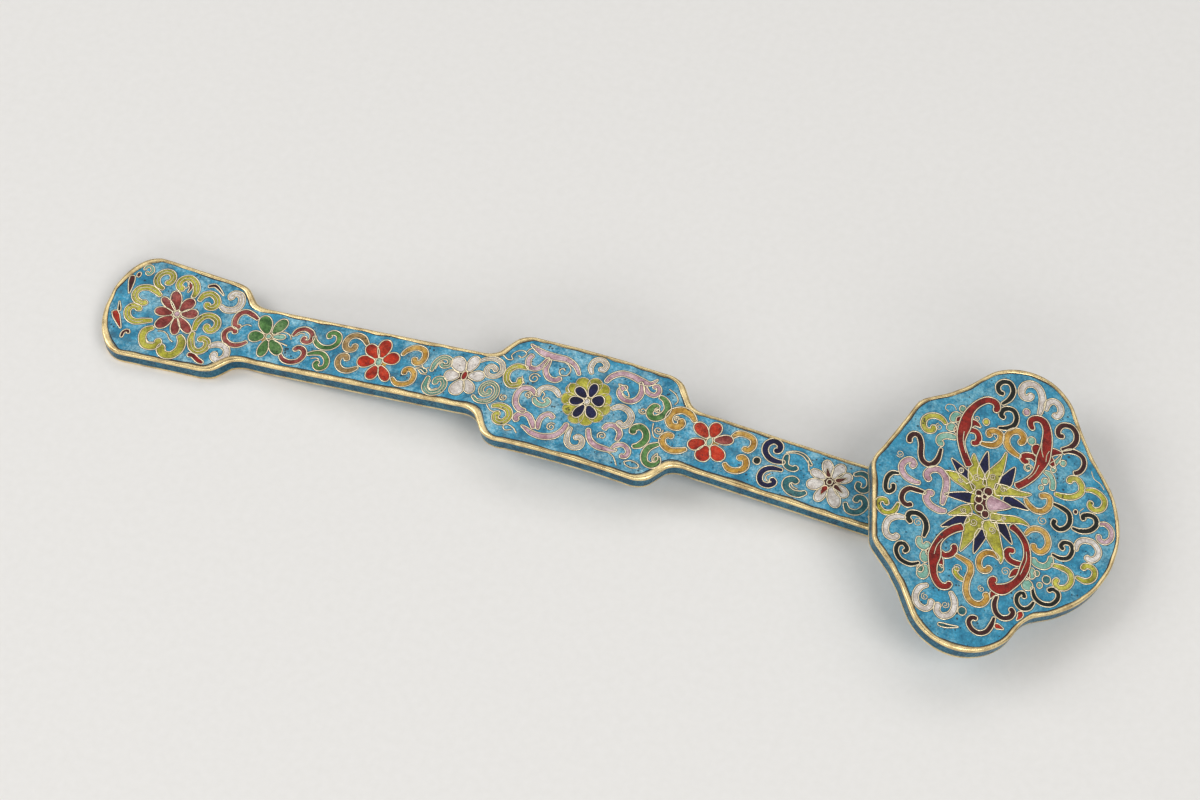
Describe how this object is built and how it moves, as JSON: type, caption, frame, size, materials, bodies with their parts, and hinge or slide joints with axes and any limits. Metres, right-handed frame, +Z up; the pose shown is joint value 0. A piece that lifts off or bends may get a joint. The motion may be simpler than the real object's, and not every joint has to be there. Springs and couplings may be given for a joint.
{
  "type": "cloisonne ruyi scepter",
  "caption": "Gently S-curved ceremonial scepter with a cloud-shaped drooping head, a waisted handle and gilt-rimmed cloisonne enamel on hollow copper boxes.",
  "frame": {"origin": "bottom centre of the whole scepter, on the table it lies on", "axes": "+X along the handle from the rounded tail to the tip of the head, +Z up out of the decorated face, +Y across"},
  "size_m": [0.3872, 0.116, 0.0352],
  "materials": {
    "gilt": "fire-gilt copper, polished and worn along the edges",
    "copper": "bare hammered copper sheet, hidden",
    "enamel_turquoise": "ground and polished enamel with small pits",
    "enamel_maroon": "ground and polished enamel",
    "enamel_green": "ground and polished enamel",
    "enamel_vermilion": "ground and polished enamel",
    "enamel_white": "ground and polished enamel",
    "enamel_lime": "ground and polished enamel",
    "enamel_navy": "ground and polished enamel",
    "enamel_red": "ground and polished enamel",
    "enamel_russet": "ground and polished enamel"
  },
  "bodies": {
    "root": {"handle_front_plate": "copper", "handle_back_plate": "copper", "handle_wall_left": "copper", "handle_wall_right": "copper", "handle_wall_enamel_left": "enamel_turquoise", "handle_wall_enamel_right": "enamel_turquoise", "handle_front_rim": "gilt", "handle_back_rim": "gilt", "handle_front_enamel": "enamel_turquoise", "handle_back_enamel": "enamel_turquoise", "tail_blossom_wire": "gilt", "tail_blossom_petals": "enamel_maroon", "green_blossom_wire": "gilt", "green_blossom_petals": "enamel_green", "upper_red_blossom_wire": "gilt", "upper_red_blossom_petals": "enamel_vermilion", "upper_white_blossom_wire": "gilt", "upper_white_blossom_petals": "enamel_white", "lower_red_blossom_wire": "gilt", "lower_red_blossom_petals": "enamel_vermilion", "lower_white_blossom_wire": "gilt", "lower_white_blossom_petals": "enamel_white", "panel_flower_wire": "gilt", "panel_flower_petals": "enamel_lime", "panel_heart_wire": "gilt", "panel_heart_petals": "enamel_navy", "neck_tongue": "copper", "neck_collar": "gilt", "head_front_plate": "copper", "head_back_plate": "copper", "head_wall": "copper", "head_wall_enamel": "enamel_turquoise", "head_front_rim": "gilt", "head_back_rim": "gilt", "head_front_enamel": "enamel_turquoise", "head_back_enamel": "enamel_turquoise", "lotus_wire": "gilt", "lotus_petals": "enamel_lime", "lotus_heart_wire": "gilt", "lotus_heart_petals": "enamel_russet", "leaf_upper_base_wire": "gilt", "leaf_upper_base_enamel": "enamel_red", "leaf_upper_tip_wire": "gilt", "leaf_upper_tip_enamel": "enamel_red", "leaf_lower_base_wire": "gilt", "leaf_lower_base_enamel": "enamel_red", "leaf_lower_tip_wire": "gilt", "leaf_lower_tip_enamel": "enamel_red"}
  },
  "joints": []
}
